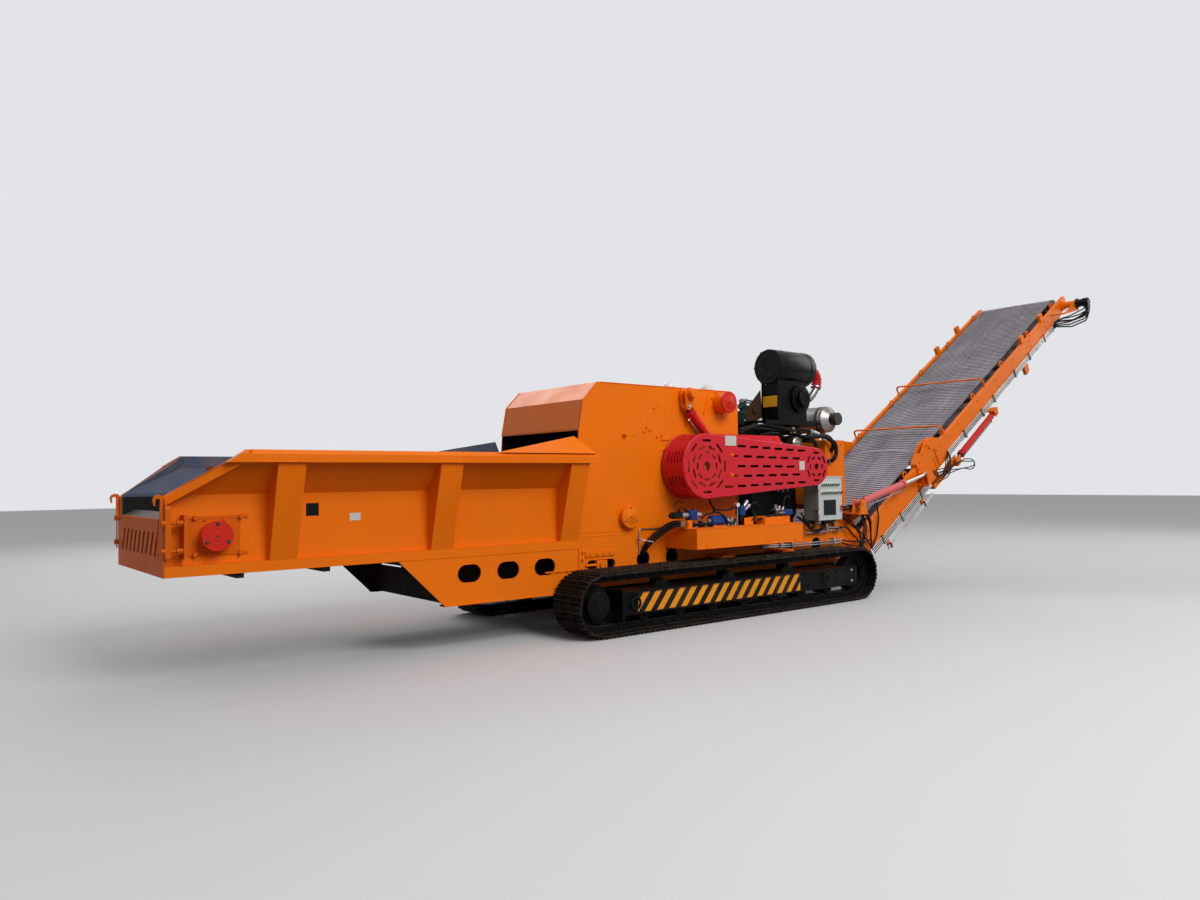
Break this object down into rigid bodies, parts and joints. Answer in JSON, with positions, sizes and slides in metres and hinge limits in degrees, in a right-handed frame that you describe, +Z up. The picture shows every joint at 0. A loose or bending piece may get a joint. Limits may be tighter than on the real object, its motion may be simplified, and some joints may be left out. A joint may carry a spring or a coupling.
{
  "type": "mobile wood crusher",
  "caption": "Tracked wood crusher with open feed hopper, crusher housing, belt guard, engine and a folding discharge conveyor.",
  "frame": {"origin": "middle of the whole machine's length and width, at ground level", "axes": "+X along the machine towards the discharge conveyor's head, +Z up; the belt guard is on -Y"},
  "size_m": [15.1611, 2.54, 4.7817],
  "materials": {
    "machine_orange": "satin",
    "guard_red": "satin",
    "frame_slate": "satin",
    "track_steel": "matte",
    "belt_rubber": "matte",
    "black_rubber": "matte",
    "cabinet_grey": "satin",
    "engine_dark": "satin",
    "black_plastic": "matte",
    "muffler_steel": "satin",
    "cylinder_red": "gloss",
    "rod_chrome": "polished",
    "pipe_steel": "satin",
    "silicone_red": "satin",
    "wear_steel": "worn",
    "valve_blue": "satin",
    "lamp_white": "satin"
  },
  "bodies": {
    "root": {"track_right": "track_steel", "track_left": "track_steel", "running_gear_right": "track_steel", "running_gear_left": "track_steel", "track_frame_right": "frame_slate", "track_frame_left": "frame_slate", "hopper_side_right": "machine_orange", "hopper_side_left": "machine_orange", "housing_side_right": "machine_orange", "housing_side_left": "machine_orange", "bearing_caps": "machine_orange", "main_frame": "machine_orange", "cross_tubes": "frame_slate", "feed_chassis": "machine_orange", "feed_end": "machine_orange", "rubber_flap": "black_rubber", "feed_chain": "wear_steel", "feed_shafts": "wear_steel", "hood": "machine_orange", "drive_belts": "black_rubber", "belt_guard": "guard_red", "engine": "engine_dark", "radiator": "engine_dark", "air_cleaner": "black_plastic", "air_cleaner_stand": "engine_dark", "intake_elbow": "silicone_red", "muffler": "muffler_steel", "rear_tank": "machine_orange", "side_tray": "machine_orange", "side_tank": "machine_orange", "valve_bank": "valve_blue", "cabinet": "cabinet_grey", "chip_pan": "frame_slate", "tray_hoses": "black_rubber", "engine_hoses": "black_rubber", "foot_hoses": "black_rubber", "dome_lamps": "lamp_white"},
    "press_arm": {"press_arm": "machine_orange"},
    "press_roller": {"press_roller": "wear_steel"},
    "rotor": {"rotor": "wear_steel"},
    "engine_pulley": {"engine_pulley": "wear_steel"},
    "cabinet_door": {"cabinet_door": "cabinet_grey"},
    "conveyor_lower": {"conveyor_lower_frame": "machine_orange", "conveyor_lower_belt": "belt_rubber", "conveyor_lower_rollers": "wear_steel", "lower_pipes": "pipe_steel"},
    "conveyor_upper": {"conveyor_upper_frame": "machine_orange", "conveyor_upper_belt": "belt_rubber", "conveyor_upper_rollers": "wear_steel", "head_motor": "black_plastic", "upper_pipes": "pipe_steel", "head_hoses": "black_rubber"},
    "press_barrels": {"press_barrels": "cylinder_red"},
    "press_rods": {"press_rods": "rod_chrome"},
    "lift_barrels": {"lift_barrels": "cylinder_red"},
    "lift_rods": {"lift_rods": "rod_chrome"},
    "fold_barrels": {"fold_barrels": "cylinder_red"},
    "fold_rods": {"fold_rods": "rod_chrome"}
  },
  "joints": [
    {"name": "conveyor_lift", "type": "hinge", "parent": "root", "child": "conveyor_lower", "pos_m": [1.1225, 0, 0.574], "axis": [0, -1, 0], "range_deg": [-10, 8]},
    {"name": "conveyor_fold", "type": "hinge", "parent": "conveyor_lower", "child": "conveyor_upper", "pos_m": [2.89322, 0, 1.98452], "axis": [0, -1, 0], "range_deg": [0, 105]},
    {"name": "press_swing", "type": "hinge", "parent": "root", "child": "press_arm", "pos_m": [-2.0415, 0, 2.515], "axis": [0, 1, 0], "range_deg": [0, 19]},
    {"name": "press_roller_spin", "type": "hinge", "parent": "press_arm", "child": "press_roller", "pos_m": [-2.9975, 0, 1.5], "axis": [0, 1, 0], "continuous": true},
    {"name": "rotor_spin", "type": "hinge", "parent": "root", "child": "rotor", "pos_m": [-2.0375, 0, 1.694], "axis": [0, 1, 0], "continuous": true},
    {"name": "engine_pulley_spin", "type": "hinge", "parent": "root", "child": "engine_pulley", "pos_m": [-0.1125, 0, 1.69], "axis": [0, 1, 0], "continuous": true},
    {"name": "cabinet_door_hinge", "type": "hinge", "parent": "root", "child": "cabinet_door", "pos_m": [0.2025, -0.881, 1.28], "axis": [0, 0, -1], "range_deg": [0, 110]},
    {"name": "press_barrel_turn", "type": "hinge", "parent": "root", "child": "press_barrels", "pos_m": [-1.6645, 0, 1.981], "axis": [0, 1, 0], "range_deg": [-4, 1]},
    {"name": "press_rod_slide", "type": "slide", "parent": "press_barrels", "child": "press_rods", "axis": [-0.7071, 0, 0.7071], "range_m": [0, 0.046]},
    {"name": "lift_barrel_turn", "type": "hinge", "parent": "root", "child": "lift_barrels", "pos_m": [0.9755, 0, 1.205], "axis": [0, -1, 0], "range_deg": [-11, 9]},
    {"name": "lift_rod_slide", "type": "slide", "parent": "lift_barrels", "child": "lift_rods", "axis": [0.9741, 0, 0.2263], "range_m": [-0.093, 0.115]},
    {"name": "fold_barrel_turn", "type": "hinge", "parent": "conveyor_upper", "child": "fold_barrels", "pos_m": [4.70286, 0, 2.54505], "axis": [0, -1, 0], "range_deg": [-6, 1]},
    {"name": "fold_rod_slide", "type": "slide", "parent": "fold_barrels", "child": "fold_rods", "axis": [-0.8404, 0, -0.542], "range_m": [0, 1.08]}
  ],
  "couplings": [
    {"joint": "engine_pulley_spin", "follows": "rotor_spin", "ratio": 1.7647},
    {"joint": "press_barrel_turn", "follows": "press_swing", "ratio": -0.1071},
    {"joint": "press_rod_slide", "follows": "press_swing", "m_per_rad": 0.124},
    {"joint": "lift_barrel_turn", "follows": "conveyor_lift", "ratio": 1},
    {"joint": "lift_rod_slide", "follows": "conveyor_lift", "m_per_rad": -0.6457},
    {"joint": "fold_barrel_turn", "follows": "conveyor_fold", "ratio": -0.0476},
    {"joint": "fold_rod_slide", "follows": "conveyor_fold", "m_per_rad": 0.5791}
  ]
}
